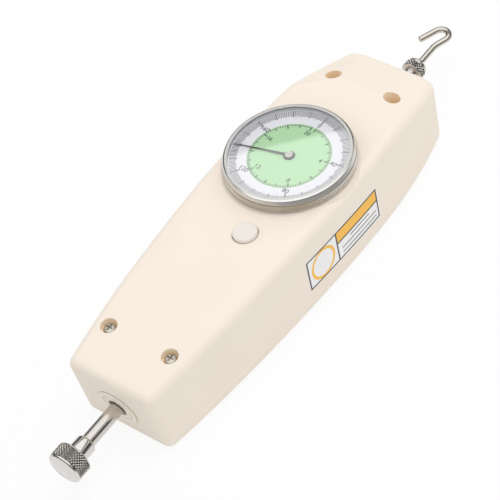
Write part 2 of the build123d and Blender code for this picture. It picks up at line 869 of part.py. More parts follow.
with BuildPart() as lock_nut:
    with BuildSketch(Plane.YZ):
        with BuildLine():
            Polyline(
                (nut_y, shaft_z + shaft_r),
                (nut_y, shaft_z + nut_r - nut_edge),
                (nut_y + nut_edge, shaft_z + nut_r),
                (nut_y + nut_length - nut_edge, shaft_z + nut_r),
                (nut_y + nut_length, shaft_z + nut_r - nut_edge),
                (nut_y + nut_length, shaft_z + shaft_r),
                close=True,
            )
        make_face()
    revolve(axis=Axis((0, 0, shaft_z), (0, 1, 0)))
save(lock_nut.part, "lock_nut")

hook_y = nut_y + nut_length
shoulder_y = hook_y + hook_shoulder_length
swing = radians(hook_swing)
flare = radians(hook_flare)
swing_end = (hook_bend_x + hook_bend_r * cos(swing), hook_bend_y - hook_bend_r * sin(swing))
swing_corner = (0, swing_end[1] - swing_end[0] / tan(swing))
bend_top = (hook_bend_x, hook_bend_y + hook_bend_r)
return_start = (hook_bend_x - hook_bend_r * cos(flare), hook_bend_y + hook_bend_r * sin(flare))
return_end = (
    return_start[0] - hook_return_length * sin(flare),
    return_start[1] - hook_return_length * cos(flare),
)
with BuildPart() as hook:
    with BuildSketch(Plane.YZ):
        with BuildLine():
            shank = Polyline(
                (hook_y - hook_shank_length, shaft_z),
                (hook_y - hook_shank_length, shaft_z + hook_shank_r),
                (hook_y + running_gap, shaft_z + hook_shank_r),
                (hook_y + running_gap, shaft_z + hook_shoulder_r),
                (hook_y + hook_shoulder_edge, shaft_z + hook_shoulder_r),
            )
            dome = ThreePointArc(
                shank @ 1,
                (hook_y + 2.5, shaft_z + 0.72 * hook_shoulder_r),
                (shoulder_y, shaft_z + hook_wire_r),
            )
            Polyline(dome @ 1, (shoulder_y, shaft_z), shank @ 0)
        make_face()
    revolve(axis=Axis((0, 0, shaft_z), (0, 1, 0)))
    # wire: straight, swung out past the axis, round the bend and back
    with BuildLine(Plane.XY.offset(shaft_z)):
        stem = FilletPolyline((0, shoulder_y - 0.5), swing_corner, swing_end, radius=hook_swing_r)
        bend = ThreePointArc(swing_end, bend_top, return_start)
        return_leg = Line(return_start, return_end)
        hook_path = Wire([*stem.edges(), bend, return_leg])
    with BuildSketch(Plane(origin=stem @ 0, z_dir=(0, 1, 0))):
        Circle(hook_wire_r)
    sweep(path=hook_path)
    fillet(hook.faces().sort_by_distance(return_leg @ 1)[0].edges(), radius=0.8)
save(hook.part, "hook")

# ============================= movement =============================
with BuildPart() as movement_low_plate:
    with BuildSketch(Plane.XY.offset(movement_low_z)):
        with Locations((0, plate_y)):
            RectangleRounded(plate_width, plate_length, 4)
        with Locations(*movement_pillar_spots):
            Circle(pillar_screw_r + press_gap, mode=Mode.SUBTRACT)
        with Locations((transfer_x, transfer_y)):
            Circle(transfer_arbor_r + 0.4, mode=Mode.SUBTRACT)
        Circle(pointer_arbor_r + running_gap, mode=Mode.SUBTRACT)
        with Locations((9, -12)):
            RectangleRounded(9, 20, 3, mode=Mode.SUBTRACT)
    extrude(amount=plate_thickness)
save(movement_low_plate.part, "movement_low_plate")

with BuildPart() as movement_high_plate:
    with BuildSketch(Plane.XY.offset(movement_high_z)):
        with Locations((0, plate_y)):
            RectangleRounded(plate_width, plate_length, 4)
        with Locations(*movement_pillar_spots):
            Circle(pillar_screw_r + 0.15, mode=Mode.SUBTRACT)
        with Locations((transfer_x, transfer_y)):
            Circle(transfer_arbor_r + running_gap, mode=Mode.SUBTRACT)
        Circle(pointer_arbor_r + running_gap, mode=Mode.SUBTRACT)
        with Locations((8.5, -20)):
            RectangleRounded(8, 22, 3, mode=Mode.SUBTRACT)
    extrude(amount=plate_thickness)
save(movement_high_plate.part, "movement_high_plate")


def pillars(base_z, top_z, core_r):
    """Four turned pillars with a hole right through for their screws."""
    with BuildPart() as group:
        with BuildSketch(Plane.XY.offset(base_z)):
            with Locations(*movement_pillar_spots):
                Circle(pillar_r)
                Circle(core_r, mode=Mode.SUBTRACT)
        extrude(amount=top_z - base_z)
    return group.part


save(pillars(chassis_top_z, movement_low_z, pillar_screw_r + press_gap), "low_pillars")
save(pillars(low_plate_top_z, movement_high_z, pillar_screw_r + press_gap), "high_pillars")
plate_screw = cheese_screw(
    pillar_screw_r,
    plate_screw_head_r,
    plate_screw_head_height,
    movement_high_z - movement_low_z + plate_screw_grip,
)
plate_screw_top_z = high_plate_top_z + plate_screw_head_height
save(set_out(plate_screw, movement_pillar_spots, plate_screw_top_z), "movement_screws")


def involute_point(base_r, angle, turn):
    """A point on the involute of the base circle, turned about the axis."""
    x = base_r * (cos(angle) + angle * sin(angle))
    y = base_r * (sin(angle) - angle * cos(angle))
    return (x * cos(turn) - y * sin(turn), x * sin(turn) + y * cos(turn))


def roll_angle(base_r, r):
    """Roll angle at which the involute of the base circle reaches the radius."""
    return ((r / base_r) ** 2 - 1) ** 0.5


def gear_outline(teeth, module, first_tooth, bore_r):
    """Involute gear face with the middle of one tooth at the given heading."""
    pitch_r = teeth * module / 2
    base_r = pitch_r * cos(radians(20))
    tip_r = pitch_r + 0.92 * module
    root_r = pitch_r - 1.25 * module
    start_r = max(base_r, root_r + 0.02)
    tooth_turn = (pi / 2 - backlash / module) / teeth
    half_pitch_turn = tooth_turn + roll_angle(base_r, pitch_r) - acos(base_r / pitch_r)
    flank = [roll_angle(base_r, r) for r in (start_r, (start_r + tip_r) / 2, tip_r)]
    with BuildSketch() as face:
        with BuildLine():
            for n in range(teeth):
                middle = radians(first_tooth) + 2 * pi * n / teeth
                rise = [involute_point(base_r, a, middle - half_pitch_turn) for a in flank]
                fall = [involute_point(base_r, -a, middle + half_pitch_turn) for a in reversed(flank)]
                foot_a = atan2(rise[0][1], rise[0][0])
                foot_b = atan2(fall[2][1], fall[2][0])
                next_foot = foot_a + 2 * pi / teeth
                root_a = (root_r * cos(foot_a), root_r * sin(foot_a))
                root_b = (root_r * cos(foot_b), root_r * sin(foot_b))
                root_c = (root_r * cos(next_foot), root_r * sin(next_foot))
                Polyline(root_a, *rise, *fall, root_b, root_c)
        make_face()
        Circle(bore_r, mode=Mode.SUBTRACT)
    return face.sketch


# headings at which the meshing teeth and gaps face each other
rack_heading = 0.0
train_heading = degrees(atan2(-transfer_y, -transfer_x))
pinion_face = gear_outline(
    pinion_teeth, rack_pitch / pi, rack_heading + 180 / pinion_teeth, transfer_arbor_r + press_gap
)
large_face = gear_outline(large_teeth, train_module, train_heading, transfer_arbor_r + press_gap)
centre_face = gear_outline(
    centre_teeth, train_module, train_heading + 180 + 180 / centre_teeth, pointer_arbor_r + press_gap
)

with BuildPart() as rack_pinion:
    with BuildSketch(Plane.XY.offset(pinion_z)):
        with Locations((transfer_x, transfer_y)):
            add(pinion_face)
    extrude(amount=pinion_length)
save(rack_pinion.part, "rack_pinion")

with BuildPart() as large_gear:
    with BuildSketch(Plane.XY.offset(large_gear_z)):
        with Locations((transfer_x, transfer_y)):
            add(large_face)
            with PolarLocations(5.2, 5):
                Circle(1.9, mode=Mode.SUBTRACT)
    extrude(amount=large_gear_thickness)
    with BuildSketch(Plane.XY.offset(large_gear_z - large_hub_length)):
        with Locations((transfer_x, transfer_y)):
            Circle(large_hub_r)
            Circle(transfer_arbor_r + press_gap, mode=Mode.SUBTRACT)
    extrude(amount=large_hub_length)
save(large_gear.part, "large_gear")

with BuildPart() as transfer_arbor:
    with BuildSketch(Plane.XY.offset(chassis_z + 0.4)):
        with Locations((transfer_x, transfer_y)):
            Circle(transfer_arbor_r)
    extrude(amount=high_plate_top_z - chassis_z - 0.8)
    chamfer(transfer_arbor.edges().filter_by(GeomType.CIRCLE), length=0.2)
save(transfer_arbor.part, "transfer_arbor")

with BuildPart() as centre_pinion:
    with BuildSketch(Plane.XY.offset(centre_gear_z)):
        add(centre_face)
    extrude(amount=centre_gear_thickness)
save(centre_pinion.part, "centre_pinion")

pointer_low_z = dial_z + body_gap
pointer_high_z = pointer_low_z + pointer_thickness
with BuildPart() as pointer_arbor:
    with BuildSketch(Plane.XY.offset(movement_low_z + 0.3)):
        Circle(pointer_arbor_r)
    extrude(amount=pointer_low_z - movement_low_z - 0.3)
    with BuildSketch(Plane.XY.offset(pointer_low_z)):
        Circle(pointer_pivot_r)
    extrude(amount=pointer_thickness)
save(pointer_arbor.part, "pointer_arbor")

with BuildPart() as hairspring_collet:
    with BuildSketch(Plane.XY.offset(centre_gear_z + centre_gear_thickness + 0.2)):
        Circle(collet_r)
        Circle(pointer_arbor_r + press_gap, mode=Mode.SUBTRACT)
    extrude(amount=collet_length)
save(hairspring_collet.part, "hairspring_collet")

hairspring_start_r = collet_r + 0.4


def spiral_point(turns, shift):
    """A point on the flat spiral, moved outward by the shift."""
    r = hairspring_start_r + (hairspring_end_r - hairspring_start_r) * turns / hairspring_turns + shift
    return (r * cos(2 * pi * turns), r * sin(2 * pi * turns))


with BuildPart() as hairspring:
    with BuildSketch(Plane.XY.offset(hairspring_z)):
        with BuildLine():
            steps = [n / 8 for n in range(int(hairspring_turns * 8) + 1)]
            inner_edge = Spline(*[spiral_point(n, -hairspring_strip / 2) for n in steps])
            outer_edge = Spline(*[spiral_point(n, hairspring_strip / 2) for n in steps])
            Line(inner_edge @ 0, outer_edge @ 0)
            Line(inner_edge @ 1, outer_edge @ 1)
        make_face()
    extrude(amount=hairspring_height)
save(hairspring.part, "hairspring")

with BuildPart() as hairspring_stud:
    with BuildSketch(Plane.XY.offset(hairspring_z)):
        with Locations((0, hairspring_end_r + hairspring_strip / 2 + stud_r + press_gap)):
            Circle(stud_r)
    extrude(amount=movement_high_z - hairspring_z)
save(hairspring_stud.part, "hairspring_stud")

# ========================= dial and pointer =========================
lens_low_z = bezel_stack_z - lens_thickness
with BuildPart() as dial_plate:
    with BuildSketch(Plane.XY.offset(dial_z - dial_thickness)):
        Circle(spigot_r)
        Circle(dial_hole_r, mode=Mode.SUBTRACT)
    extrude(amount=dial_thickness)
save(dial_plate.part, "dial_plate")

with BuildPart() as lens_spacer:
    with BuildSketch(Plane.XY.offset(dial_z)):
        Circle(spigot_r)
        Circle(window_r, mode=Mode.SUBTRACT)
    extrude(amount=lens_low_z - dial_z)
save(lens_spacer.part, "lens_spacer")

with BuildPart() as lens:
    with BuildSketch(Plane.XY.offset(lens_low_z)):
        Circle(spigot_r)
    extrude(amount=lens_thickness)
save(lens.part, "lens")

with BuildPart() as dial_retainer:
    with BuildSketch(Plane.XY.offset(dial_z - dial_thickness - retainer_thickness)):
        Circle(spigot_r)
        Circle(spigot_r - retainer_width, mode=Mode.SUBTRACT)
    extrude(amount=retainer_thickness)
save(dial_retainer.part, "dial_retainer")

with BuildPart() as bezel:
    with BuildSketch(Plane.XZ):
        with BuildLine():
            Polyline(
                (bezel_bore_r, bezel_foot_z),
                (bezel_foot_r, bezel_foot_z),
                (bezel_foot_r, bezel_lip_z - bezel_slope_drop),
                (bezel_lip_r, bezel_lip_z),
                (bezel_top_r, bezel_top_z),
                (window_r, bezel_top_z),
                (window_r, bezel_stack_z),
                (bezel_bore_r, bezel_stack_z),
                close=True,
            )
        make_face()
        with Locations((bezel_bore_r, snap_ring_z)):
            Circle(snap_ring_r + 0.08, mode=Mode.SUBTRACT)
    revolve(axis=Axis.Z)
save(bezel.part, "bezel")

with BuildPart() as bezel_snap_ring:
    with BuildSketch(Plane.XZ):
        with Locations((spigot_r, snap_ring_z)):
            Circle(snap_ring_r)
    revolve(axis=Axis.Z, revolution_arc=snap_ring_arc)
save(bezel_snap_ring.part, "bezel_snap_ring")

heading = 90 - pointer_heading
with BuildPart() as pointer:
    with BuildSketch(Plane.XY.offset(pointer_low_z).rotated((0, 0, heading))):
        with BuildLine():
            Polyline(
                (0, pointer_root_width / 2),
                (pointer_reach, pointer_tip_width / 2),
                (pointer_reach, -pointer_tip_width / 2),
                (0, -pointer_root_width / 2),
                close=True,
            )
        make_face()
        Circle(pointer_hub_r)
        Circle(pointer_pivot_r + press_gap, mode=Mode.SUBTRACT)
    extrude(amount=pointer_thickness)
save(pointer.part, "pointer")

with BuildPart() as pointer_cap:
    with BuildSketch(Plane.XY.offset(pointer_high_z)):
        Circle(pointer_cap_r)
    extrude(amount=pointer_cap_height)
    chamfer(pointer_cap.faces().sort_by(Axis.Z)[-1].edges(), length=0.15)
    with BuildSketch(Plane.XY.offset(pointer_high_z + pointer_cap_height)):
        Rectangle(4, 0.5, rotation=heading)
    extrude(amount=-0.25, mode=Mode.SUBTRACT)
save(pointer_cap.part, "pointer_cap")

# =========================== peak button ============================
button_flange_top_z = plateau_z - wall - body_gap
button_flange_low_z = button_flange_top_z - button_flange_thickness
button_roof_z = button_top_z - button_roof
button_stem_low_z = lever_top_z + body_gap
with BuildPart() as peak_button:
    with BuildSketch(Plane.XY.offset(button_flange_low_z)):
        with Locations((button_x, button_y)):
            Circle(button_r)
    extrude(amount=button_top_z - button_flange_low_z)
    fillet(peak_button.faces().sort_by(Axis.Z)[-1].edges(), radius=0.8)
    with BuildSketch(Plane.XY.offset(button_flange_low_z)):
        with Locations((button_x, button_y)):
            Circle(button_flange_r)
    extrude(amount=button_flange_top_z - button_flange_low_z)
    with BuildSketch(Plane.XY.offset(button_flange_low_z)):
        with Locations((button_x, button_y)):
            Circle(button_hollow_r)
    extrude(amount=button_roof_z - button_flange_low_z, mode=Mode.SUBTRACT)
    with BuildSketch(Plane.XY.offset(button_stem_low_z)):
        with Locations((button_x, button_y)):
            Circle(button_stem_r)
    extrude(amount=button_roof_z - button_stem_low_z)
save(peak_button.part, "peak_button")

button_spring_low_z = bracket_z + bracket_thickness + button_spring_wire_r + running_gap
button_spring_high_z = button_roof_z - button_spring_wire_r - running_gap
button_spring_length = button_spring_high_z - button_spring_low_z
with BuildPart() as button_spring:
    with BuildLine():
        button_coil = Helix(
            pitch=button_spring_length / button_spring_turns,
            height=button_spring_length,
            radius=button_spring_r,
            center=(button_x, button_y, button_spring_low_z),
        )
    with BuildSketch(Plane(origin=button_coil @ 0, z_dir=button_coil % 0)):
        Circle(button_spring_wire_r)
    sweep(path=button_coil, is_frenet=True)
save(button_spring.part, "button_spring")

with BuildPart() as button_bracket:
    with BuildSketch(Plane.XY.offset(bracket_z)):
        with Locations((button_x, button_y)):
            SlotOverall(2 * bracket_post_x + 6, bracket_width)
            Circle(button_stem_r + 0.3, mode=Mode.SUBTRACT)
        with Locations(*bracket_spots):
            Circle(bracket_screw_r + 0.15, mode=Mode.SUBTRACT)
    extrude(amount=bracket_thickness)
save(button_bracket.part, "button_bracket")

bracket_screw = cheese_screw(
    bracket_screw_r, plate_screw_head_r, plate_screw_head_height, bracket_screw_length
).rotate(Axis.X, 180)
save(set_out(bracket_screw, bracket_spots, bracket_z - plate_screw_head_height), "bracket_screws")

lever_low_z = lever_top_z - lever_thickness
with BuildPart() as brake_lever:
    with BuildSketch(Plane.XY.offset(lever_low_z)):
        with Locations((lever_x, (button_y - 1.5 + brake_end_y) / 2)):
            RectangleRounded(lever_width, brake_end_y - button_y + 1.5, 0.8)
        with Locations((lever_x - 4.4, brake_end_y - 1)):
            RectangleRounded(lever_width + 8.8, 2.0, 0.8)
    extrude(amount=lever_thickness)
    with BuildSketch(Plane.YZ.offset(lever_x - lever_width / 2)):
        with Locations((lever_pivot_y, lever_pivot_z)):
            Circle(lever_boss_r)
    extrude(amount=lever_width)
    with BuildSketch(Plane.YZ.offset(lever_x - lever_width / 2)):
        with Locations((lever_pivot_y, lever_pivot_z)):
            Circle(lever_pin_r + running_gap)
    extrude(amount=lever_width, mode=Mode.SUBTRACT)
save(brake_lever.part, "brake_lever")

with BuildPart() as lever_pin:
    lever_pin_length = lever_ear_gap + 2 * lever_ear_thickness + 1
    with BuildSketch(Plane.YZ.offset(lever_x - lever_pin_length / 2)):
        with Locations((lever_pivot_y, lever_pivot_z)):
            Circle(lever_pin_r)
    extrude(amount=lever_pin_length)
save(lever_pin.part, "lever_pin")
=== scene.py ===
import math

import bmesh
import bpy
from mathutils import Matrix, Vector
from mathutils.bvhtree import BVHTree


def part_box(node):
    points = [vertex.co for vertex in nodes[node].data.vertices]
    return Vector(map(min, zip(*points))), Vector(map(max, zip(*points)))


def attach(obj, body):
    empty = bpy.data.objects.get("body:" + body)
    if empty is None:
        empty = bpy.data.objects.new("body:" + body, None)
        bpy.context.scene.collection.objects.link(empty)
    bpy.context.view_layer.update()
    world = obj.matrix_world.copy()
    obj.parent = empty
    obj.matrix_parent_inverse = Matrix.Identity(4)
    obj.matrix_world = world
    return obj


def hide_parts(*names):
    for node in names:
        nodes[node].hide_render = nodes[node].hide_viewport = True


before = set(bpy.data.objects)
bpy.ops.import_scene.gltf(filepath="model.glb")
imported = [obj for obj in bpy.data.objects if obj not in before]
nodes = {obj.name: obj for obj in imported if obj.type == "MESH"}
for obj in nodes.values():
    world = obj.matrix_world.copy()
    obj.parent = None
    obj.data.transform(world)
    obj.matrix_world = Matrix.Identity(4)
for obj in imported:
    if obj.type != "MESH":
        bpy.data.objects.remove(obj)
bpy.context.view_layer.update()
mm = 0.001
fullTurn = 2 * math.pi
mergeDistance = 0.0005 * mm
shaftHeight = 16.7 * mm  # the shaft line runs along Y at this height


class Value:
    # one output socket; sums on it add their own Math nodes
    def __init__(self, finish, socket):
        self.finish = finish
        self.socket = socket

    def math(self, operation, *values):
        return self.finish.node("ShaderNodeMath", {"operation": operation}, dict(enumerate(values)))

    def __add__(self, other):
        return self.math("ADD", self, other)

    def __radd__(self, other):
        return self.math("ADD", other, self)

    def __sub__(self, other):
        return self.math("SUBTRACT", self, other)

    def __rsub__(self, other):
        return self.math("SUBTRACT", other, self)

    def __mul__(self, other):
        return self.math("MULTIPLY", self, other)

    def __rmul__(self, other):
        return self.math("MULTIPLY", other, self)

    def __truediv__(self, other):
        return self.math("DIVIDE", self, other)

    def __pow__(self, other):
        return self.math("POWER", self, other)

    def __abs__(self):
        return self.math("ABSOLUTE", self)

    def __gt__(self, other):
        return self.math("GREATER_THAN", self, other)

    def __lt__(self, other):
        return self.math("LESS_THAN", self, other)

    def larger(self, other):
        return self.math("MAXIMUM", self, other)


class Finish:
    # a material's or the world's node tree, and the one method that adds to it
    def __init__(self, owner):
        owner.use_nodes = True
        self.owner = owner
        self.tree = owner.node_tree
        self.tree.nodes.clear()

    def node(self, kind, settings=None, sockets=None, output=0):
        made = self.tree.nodes.new(kind)
        for name, value in (settings or {}).items():
            setattr(made, name, value)
        for name, value in (sockets or {}).items():
            if isinstance(value, Value):
                self.tree.links.new(value.socket, made.inputs[name])
            else:
                made.inputs[name].default_value = value
        return Value(self, made.outputs[output]) if made.outputs else made

    def place(self, centre=(0, 0, 0), turn=(0, 0, 0)):
        # object coordinates, moved and turned about a centre
        spot = self.node("ShaderNodeTexCoord", output="Object")
        moved = self.node("ShaderNodeVectorMath", {"operation": "SUBTRACT"}, {0: spot, 1: centre})
        sockets = {"Vector": moved, "Rotation": turn}
        return self.node("ShaderNodeMapping", {"vector_type": "POINT"}, sockets)

    def split(self, vector):
        parts = self.node("ShaderNodeSeparateXYZ", None, {"Vector": vector})
        return [Value(self, socket) for socket in parts.socket.node.outputs]

    def noise(self, spot, scale, detail=2.0):
        return self.node("ShaderNodeTexNoise", None, {"Vector": spot, "Scale": scale, "Detail": detail})

    def blend(self, factor, first, second):
        mixed = {0: factor, 6: first, 7: second}
        return self.node("ShaderNodeMix", {"data_type": "RGBA"}, mixed, output=2)

    def bump(self, height, depth):
        return self.node("ShaderNodeBump", None, {"Height": height, "Distance": depth, "Strength": 1.0})

    def grey(self, level):
        return self.node("ShaderNodeCombineXYZ", None, {"X": level, "Y": level, "Z": level})

    def shade(self, **sockets):
        named = {name.replace("_", " "): value for name, value in sockets.items()}
        shader = self.node("ShaderNodeBsdfPrincipled", None, named)
        self.show(shader)
        return self.owner

    def show(self, shader):
        self.node("ShaderNodeOutputMaterial", None, {"Surface": shader})


def newFinish(name):
    return Finish(bpy.data.materials.new(name))


def colour(red, green, blue):
    # a colour as it shows on a screen, 0 to 255, made linear
    def linear(part):
        part = part / 255
        return part / 12.92 if part <= 0.04045 else ((part + 0.055) / 1.055) ** 2.4

    return (linear(red), linear(green), linear(blue), 1.0)


# painted light for the screw wells: a paler warm tint and a faint emission glow
paintedWellLight = {
    "radius": 3.51 * mm,
    "spots": ((15.1 * mm, -99.6 * mm), (14.65 * mm, 49.9 * mm)),  # one of each left and right pair
    "tint": colour(255, 240, 216),
    "paintedGlow": colour(58, 46, 32),
}
# painted shade and dirt in the seam round the moulded ring
ringSeamShade = {"radius": 9.0 * mm, "tint": colour(176, 158, 134)}


def mouldedPlastic(name, pale, deep, roughness, grainDepth, paintedWells=None, seamShade=None):
    finish = newFinish(name)
    spot = finish.place()
    clouds = finish.noise(spot, 45.0, 3.0)
    grain = finish.noise(spot, 2600.0, 2.0)
    orangePeel = finish.noise(spot, 420.0, 2.0)
    tint = finish.blend(clouds, pale, deep)
    x, y, z = finish.split(spot)
    paintedGlow = colour(0, 0, 0)
    if paintedWells:
        # painted light in the screw wells: a paler warm tint and a faint emission glow
        for wellX, wellY in paintedWells["spots"]:
            side = abs(x) - wellX
            along = y - wellY
            inWell = (side * side + along * along) ** 0.5 < paintedWells["radius"]
            tint = finish.blend(inWell, tint, paintedWells["tint"])
            paintedGlow = finish.blend(inWell, paintedGlow, paintedWells["paintedGlow"])
    if seamShade:
        # painted shade and dirt in the joint round the moulded ring: a fine darker line
        height = z - shaftHeight
        inSeamShade = (x * x + height * height) ** 0.5 > seamShade["radius"]
        tint = finish.blend(inSeamShade, tint, seamShade["tint"])
    return finish.shade(
        Emission_Color=paintedGlow,
        Emission_Strength=1.0,
        Base_Color=tint,
        Roughness=roughness + (grain - 0.5) * 0.12 + (clouds - 0.5) * 0.06,
        Normal=finish.bump(grain * 0.6 + orangePeel, grainDepth),
        IOR=1.46,
    )


casePlastic = {"pale": colour(249, 238, 225), "deep": colour(246, 234, 219), "roughness": 0.52}
ivoryPlastic = mouldedPlastic("ivoryPlastic", grainDepth=0.012 * mm, paintedWells=paintedWellLight, **casePlastic)
ivoryCover = mouldedPlastic("ivoryCover", grainDepth=0.02 * mm, **casePlastic)
ringPlastic = mouldedPlastic(
    "ringPlastic",
    colour(250, 240, 228),
    colour(246, 235, 221),
    roughness=0.42,
    grainDepth=0.006 * mm,
    seamShade=ringSeamShade,
)
buttonPlastic = mouldedPlastic(
    "buttonPlastic", colour(240, 234, 226), colour(234, 228, 220), roughness=0.34, grainDepth=0.004 * mm
)
spacerPlastic = mouldedPlastic(
    "spacerPlastic", colour(222, 223, 225), colour(212, 213, 216), roughness=0.5, grainDepth=0.006 * mm
)


def turnedMetal(name, tone, roughness, stretch, markScale, markDepth, spread=0.08):
    # fine tool marks: noise drawn out along the directions with a small stretch
    finish = newFinish(name)
    spot = finish.place()
    sockets = {"Vector": spot, "Scale": stretch}
    drawn = finish.node("ShaderNodeMapping", {"vector_type": "POINT"}, sockets)
    marks = finish.noise(drawn, markScale, 4.0)
    clouds = finish.noise(spot, 160.0, 2.0)
    dull = tuple(part * 0.82 for part in tone[:3]) + (1.0,)
    return finish.shade(
        Base_Color=finish.blend(clouds * 0.5 + marks * 0.25, tone, dull),
        Metallic=1.0,
        Roughness=roughness + (marks - 0.5) * spread + (clouds - 0.5) * spread * 0.5,
        Normal=finish.bump(marks, markDepth),
    )


groundSteel = turnedMetal(
    "groundSteel",
    colour(214, 209, 203),
    roughness=0.16,
    stretch=(1, 0.06, 1),
    markScale=1800,
    markDepth=0.0008 * mm,
)
platedSteel = turnedMetal(
    "platedSteel", colour(222, 219, 214), 0.17, stretch=(1, 1, 1), markScale=900, markDepth=0.0006 * mm
)
hookSteel = turnedMetal(
    "hookSteel", colour(214, 208, 198), 0.1, stretch=(1, 1, 1), markScale=900, markDepth=0.0006 * mm
)
springSteel = turnedMetal(
    "springSteel", colour(150, 150, 154), 0.3, stretch=(1, 1, 1), markScale=1500, markDepth=0.001 * mm
)
sheetSteel = turnedMetal(
    "sheetSteel",
    colour(190, 190, 192),
    roughness=0.34,
    stretch=(0.08, 1, 1),
    markScale=1200,
    markDepth=0.001 * mm,
)
screwSteel = turnedMetal(
    "screwSteel", colour(205, 200, 190), 0.27, stretch=(1, 1, 1), markScale=1600, markDepth=0.002 * mm
)
brassMetal = turnedMetal(
    "brassMetal", colour(216, 180, 104), 0.28, stretch=(1, 0.1, 1), markScale=1400, markDepth=0.001 * mm
)
bronzeMetal = turnedMetal(
    "bronzeMetal", colour(176, 134, 84), 0.42, stretch=(1, 1, 1), markScale=2200, markDepth=0.004 * mm
)
chassisMetal = turnedMetal(
    "chassisMetal",
    colour(205, 207, 209),
    roughness=0.36,
    stretch=(1, 0.08, 1),
    markScale=1100,
    markDepth=0.002 * mm,
)
capMetal = turnedMetal(
    "capMetal", colour(236, 234, 230), 0.4, stretch=(1, 1, 1), markScale=2400, markDepth=0.001 * mm
)


def knurledMetal(name, valley, peak):
    # painted shade and dust: the grooves of the rolled grid are darkened in the colour, the peaks left
    # pale
    finish = newFinish(name)
    spot = finish.place((0, 0, shaftHeight))
    x, y, z = finish.split(spot)
    radius = (x * x + z * z) ** 0.5
    dustAndShadeNoise = finish.noise(spot, 2600.0, 3.0)
    depth = (radius - valley) / (peak - valley) + (dustAndShadeNoise - 0.5) * 0.3
    outOfGrooveShade = finish.node("ShaderNodeClamp", None, {"Value": depth * 1.9 - 0.35})
    return finish.shade(
        Base_Color=finish.blend(outOfGrooveShade, colour(84, 77, 70), colour(250, 247, 242)),
        Metallic=1.0,
        Roughness=0.3 - outOfGrooveShade * 0.12,
        Normal=finish.bump(dustAndShadeNoise, 0.002 * mm),
    )


# where the bezel's ribs get painted shade and dust in their grooves
bezelGrooveShade = {"outer": 27.13 * mm, "inner": 26.83 * mm, "low": 40.2 * mm, "high": 43.8 * mm}


def bezelChrome():
    # turned rings show as faint steps of roughness round the axis
    finish = newFinish("bezelChrome")
    spot = finish.place()
    x, y, z = finish.split(spot)
    radius = (x * x + y * y) ** 0.5
    ringSpot = finish.node("ShaderNodeCombineXYZ", None, {"X": radius, "Z": z})
    rings = finish.noise(ringSpot, 3200.0, 3.0)
    clouds = finish.noise(spot, 120.0, 2.0)
    tone = finish.blend(clouds, colour(238, 237, 235), colour(222, 220, 217))
    # painted shade and dust: the grooves between the ribs are darkened in the colour
    inShadedGroove = (radius < bezelGrooveShade["outer"]) * (z > bezelGrooveShade["low"]) * (z < bezelGrooveShade["high"])
    inShadedGroove = inShadedGroove * (radius > bezelGrooveShade["inner"])
    return finish.shade(
        Base_Color=finish.blend(inShadedGroove, tone, colour(166, 156, 138)),
        Metallic=1.0,
        Roughness=0.25 + (rings - 0.5) * 0.14,
        Normal=finish.bump(rings, 0.0012 * mm),
    )


bezelMetal = bezelChrome()
print("finishes for plastic and metal are made")

dial = {
    "turn": -4.5,  # degrees, the bezel as it was last set
    "paintTop": 43.5 * mm,
    "discRadius": 17.26 * mm,
    "printHeight": 0.02 * mm,
    "ring": colour(250, 250, 255),
    "disc": colour(190, 236, 184),
}


def dialPaint():
    finish = newFinish("dialPaint")
    spot = finish.place()
    x, y, z = finish.split(spot)
    radius = (x * x + y * y) ** 0.5
    onDisc = radius < dial["discRadius"]
    onFace = z > dial["paintTop"] - 0.01 * mm
    speckle = finish.noise(spot, 2400.0, 2.0)
    clouds = finish.noise(spot, 90.0, 2.0)
    ring = finish.blend(clouds, dial["ring"], colour(246, 246, 253))
    disc = finish.blend(clouds, dial["disc"], colour(185, 233, 180))
    printed = finish.blend(onDisc, ring, disc)
    return finish.shade(
        Base_Color=finish.blend(onFace, colour(190, 192, 194), printed),
        Roughness=0.42 + (speckle - 0.5) * 0.1,
        Normal=finish.bump(speckle, 0.001 * mm),
    )


def inkFinish(name, ink, outOfGrooveShade):
    finish = newFinish(name)
    spot = finish.place()
    patches = finish.noise(spot, 1500.0, 2.0)
    return finish.shade(
        Base_Color=finish.blend(patches, ink, outOfGrooveShade),
        Roughness=0.5 + (patches - 0.5) * 0.2,
        Normal=finish.bump(patches, 0.0006 * mm),
    )


def lensFinish():
    # clear window: mostly see-through, with the mirror part of its two faces
    finish = newFinish("lensClear")
    spot = finish.place()
    smears = finish.noise(spot, 60.0, 2.0)
    return finish.shade(
        Base_Color=(1.0, 1.0, 1.0, 1.0),
        Metallic=1.0,
        Roughness=0.008 + smears * 0.01,
        Alpha=0.105 + smears * 0.015,
    )


dialFinish = dialPaint()
dialInk = inkFinish("dialInk", colour(24, 26, 32), colour(38, 40, 48))
greenInk = inkFinish("greenInk", colour(22, 50, 28), colour(34, 66, 40))
pointerInk = inkFinish("pointerInk", colour(22, 22, 24), colour(34, 34, 38))
lensClear = lensFinish()

